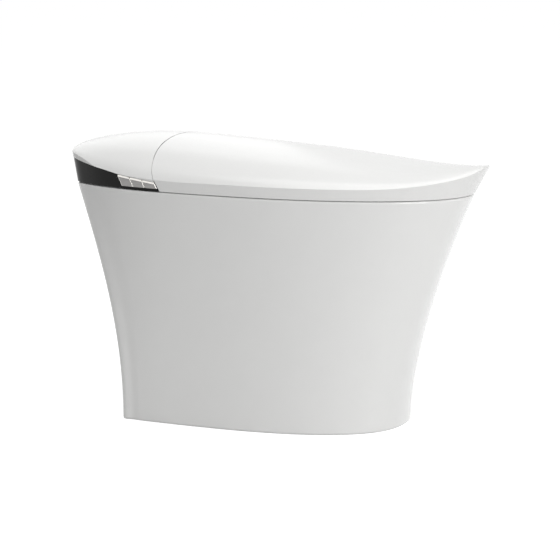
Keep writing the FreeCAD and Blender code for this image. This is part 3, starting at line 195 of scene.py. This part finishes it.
def textured(name, colour, roughness, metallic=0.0, coat=0.0, scale=120.0, stretch=(1, 1, 1),
             colour_spread=0.02, roughness_spread=0.04, relief=0.02, depth=0.0002, specular=0.5):
    """A shader whose colour, roughness and relief all follow a fine noise."""
    look = bpy.data.materials.new(name)
    look.use_nodes = True
    nodes, links = look.node_tree.nodes, look.node_tree.links
    shader = nodes["Principled BSDF"]
    shader.inputs["Metallic"].default_value = metallic
    shader.inputs["Coat Weight"].default_value = coat
    shader.inputs["Coat Roughness"].default_value = COAT_ROUGHNESS
    shader.inputs["Specular IOR Level"].default_value = specular
    place = nodes.new("ShaderNodeTexCoord")
    mapping = nodes.new("ShaderNodeMapping")
    mapping.inputs["Scale"].default_value = stretch
    noise = nodes.new("ShaderNodeTexNoise")
    noise.inputs["Scale"].default_value = scale
    noise.inputs["Detail"].default_value = NOISE_DETAIL
    links.new(place.outputs["Object"], mapping.inputs["Vector"])
    links.new(mapping.outputs["Vector"], noise.inputs["Vector"])
    ramp = nodes.new("ShaderNodeValToRGB")
    dark, light = ramp.color_ramp.elements
    dark.position = NOISE_LOW
    light.position = NOISE_HIGH
    dark.color = shade(colour, 1.0 - colour_spread)
    light.color = shade(colour, 1.0 + colour_spread)
    links.new(noise.outputs["Fac"], ramp.inputs["Fac"])
    links.new(ramp.outputs["Color"], shader.inputs["Base Color"])
    rough = nodes.new("ShaderNodeMapRange")
    rough.inputs["To Min"].default_value = max(LEAST_ROUGHNESS, roughness - roughness_spread)
    rough.inputs["To Max"].default_value = roughness + roughness_spread
    links.new(noise.outputs["Fac"], rough.inputs["Value"])
    links.new(rough.outputs["Result"], shader.inputs["Roughness"])
    bump = nodes.new("ShaderNodeBump")
    bump.inputs["Strength"].default_value = relief
    bump.inputs["Distance"].default_value = depth
    links.new(noise.outputs["Fac"], bump.inputs["Height"])
    links.new(bump.outputs["Normal"], shader.inputs["Normal"])
    return look


def shade(colour, factor):
    return [min(1.0, part * factor) for part in colour] + [1.0]


def materials():
    """One finish for each material slot of the record."""
    return {
        "vitreous_china": textured("vitreous_china", (0.80, 0.80, 0.79), 0.12, coat=0.4, scale=22.0,
                                   colour_spread=0.006, relief=0.05, depth=0.0006),
        "white_gloss": textured("white_gloss", (0.82, 0.82, 0.81), 0.24, scale=300.0,
                                colour_spread=0.006, relief=0.03),
        "white_moulding": textured("white_moulding", (0.78, 0.78, 0.77), 0.45, scale=600.0,
                                   relief=0.12),
        "black_gloss": textured("black_gloss", (0.010, 0.010, 0.0095), 0.18, scale=200.0,
                                relief=0.02, specular=0.12),
        "satin_metal": textured("satin_metal", (0.27, 0.264, 0.258), 0.36, metallic=1.0, scale=90.0,
                                stretch=(1, 1, 22), colour_spread=0.10, relief=0.2),
        "grey_moulding": textured("grey_moulding", (0.18, 0.185, 0.19), 0.5, scale=700.0, relief=0.2),
        "black_moulding": textured("black_moulding", (0.03, 0.03, 0.03), 0.5, scale=700.0,
                                   relief=0.2),
        "steel": textured("steel", (0.56, 0.56, 0.57), 0.28, metallic=1.0, scale=120.0,
                          stretch=(1, 20, 1), colour_spread=0.05, relief=0.1),
        "brass": textured("brass", (0.66, 0.48, 0.20), 0.3, metallic=1.0, scale=200.0,
                          colour_spread=0.06, relief=0.06),
        "foil": textured("foil", (0.70, 0.70, 0.72), 0.35, metallic=1.0, scale=260.0,
                         colour_spread=0.08, relief=0.5),
        "black_rubber": textured("black_rubber", (0.03, 0.03, 0.03), 0.7, scale=900.0, relief=0.3),
        "white_rubber": textured("white_rubber", (0.70, 0.70, 0.69), 0.65, scale=900.0, relief=0.2),
        "clear_hose": textured("clear_hose", (0.62, 0.65, 0.65), 0.3, scale=150.0, relief=0.05),
        "circuit": textured("circuit", (0.02, 0.13, 0.05), 0.35, scale=500.0, colour_spread=0.5,
                            relief=0.3),
    }


def dress(finishes):
    """Give each node the finish that its record entry names."""
    for entry in frame["record"]["subparts"]:
        mesh = frame["nodes"][entry["node"]].data
        mesh.materials.clear()
        mesh.materials.append(finishes[entry["material_slot"]])


# ---------------------------------------------------------------- smooth surfaces

CREASE_ANGLE = math.radians(28.0)


def smooth(mesh):
    mesh.polygons.foreach_set("use_smooth", [True] * len(mesh.polygons))
    mesh.set_sharp_from_angle(angle=CREASE_ANGLE)


# ---------------------------------------------------------------- keys

KEY_BODIES = {"key_wash": "wash_key", "key_dry": "dry_key", "key_flush": "flush_key"}

KEY_EDGE = 0.0008
KEY_EDGE_STEPS = 3
KEY_EDGE_PROFILE = 0.6
KEY_BAND = 0.0032
KEY_LEAN = 0.0007
KEY_NOTCH = 0.0024

WELD_GAP = 0.00001
FLAT_ANGLE = math.radians(4.0)
SHARP_ANGLE = math.radians(30.0)

# how far a face's normal points along an axis, for a face that looks that way
FACES_AXIS = 0.8
FACES_OUT = 0.97
SLANTS_OUT = 0.2
SLANTS_SIDEWAYS = 0.25


def key_top_line(form):
    """The two ends of the edge between a key's face and its top."""
    for edge in form.edges:
        outward = max(-face.normal.x for face in edge.link_faces)
        upward = max(face.normal.z for face in edge.link_faces)
        if outward > FACES_AXIS and upward > FACES_AXIS:
            return list(edge.verts)
    raise ValueError("a key has no top edge")


def takes_painted_highlight(face, band_foot, above):
    """True in the band along a key's top, and on the softened edges at its two sides: the faces whose
    pale finish is a painted highlight.
    """
    in_band = (face.calc_center_median() - band_foot).dot(above) > 0.0
    slants = SLANTS_OUT < -face.normal.x < FACES_OUT
    return in_band or (slants and abs(face.normal.y) > SLANTS_SIDEWAYS)


def key_form(source):
    """A key with a band that leans in along its top, notched top corners and softened edges."""
    form = bmesh.new()
    form.from_mesh(source)
    bmesh.ops.remove_doubles(form, verts=form.verts, dist=WELD_GAP)
    bmesh.ops.dissolve_limit(form, angle_limit=FLAT_ANGLE, verts=form.verts, edges=form.edges)
    line = key_top_line(form)
    along = (line[1].co - line[0].co).normalized()
    above = Vector((1.0, 0.0, 0.0)).cross(along)
    above = above if above.z > 0 else -above
    band_foot = line[0].co + Vector((0.0, 0.0, -KEY_BAND))
    bmesh.ops.bisect_plane(form, geom=form.verts[:] + form.edges[:] + form.faces[:],
                           plane_co=band_foot, plane_no=above)
    for vert in line:
        vert.co.x += KEY_LEAN
    bmesh.ops.bevel(form, geom=line, offset=KEY_NOTCH, segments=1, affect="VERTICES")
    edges = [edge for edge in form.edges
             if len(edge.link_faces) == 2 and edge.calc_face_angle() > SHARP_ANGLE]
    bmesh.ops.bevel(form, geom=edges, offset=KEY_EDGE, segments=KEY_EDGE_STEPS, affect="EDGES",
                    profile=KEY_EDGE_PROFILE, clamp_overlap=True)
    # the band along the top and the side edges take the second finish, whose pale colour is a painted
    # highlight
    for face in form.faces:
        face.material_index = int(takes_painted_highlight(face, band_foot, above))
    return form


def key_piece(node, face_finish, polished_highlight_finish):
    """The push key that is seen in place of the plain one."""
    form = key_form(frame["nodes"][node].data)
    mesh = bpy.data.meshes.new(node + "_cap")
    form.to_mesh(mesh)
    form.free()
    smooth(mesh)
    mesh.materials.append(face_finish)
    mesh.materials.append(polished_highlight_finish)
    piece = put_in_scene(node + "_cap", mesh)
    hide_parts(node)
    return piece


# ---------------------------------------------------------------- the scene

bpy.context.scene.view_settings.view_transform = "Standard"
camera()
world()
floor()
lamps()
finishes = materials()
dress(finishes)
for item in frame["nodes"].values():
    smooth(item.data)
# polished metal whose pale cream colour is a painted highlight: the sky reflected in the keys' top
# band and side edges
polished_highlight = textured("polished_metal_painted_highlight", (0.88, 0.86, 0.82), 0.22, metallic=1.0, scale=90.0, relief=0.04)
for node, body in KEY_BODIES.items():
    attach(key_piece(node, finishes["satin_metal"], polished_highlight), body)
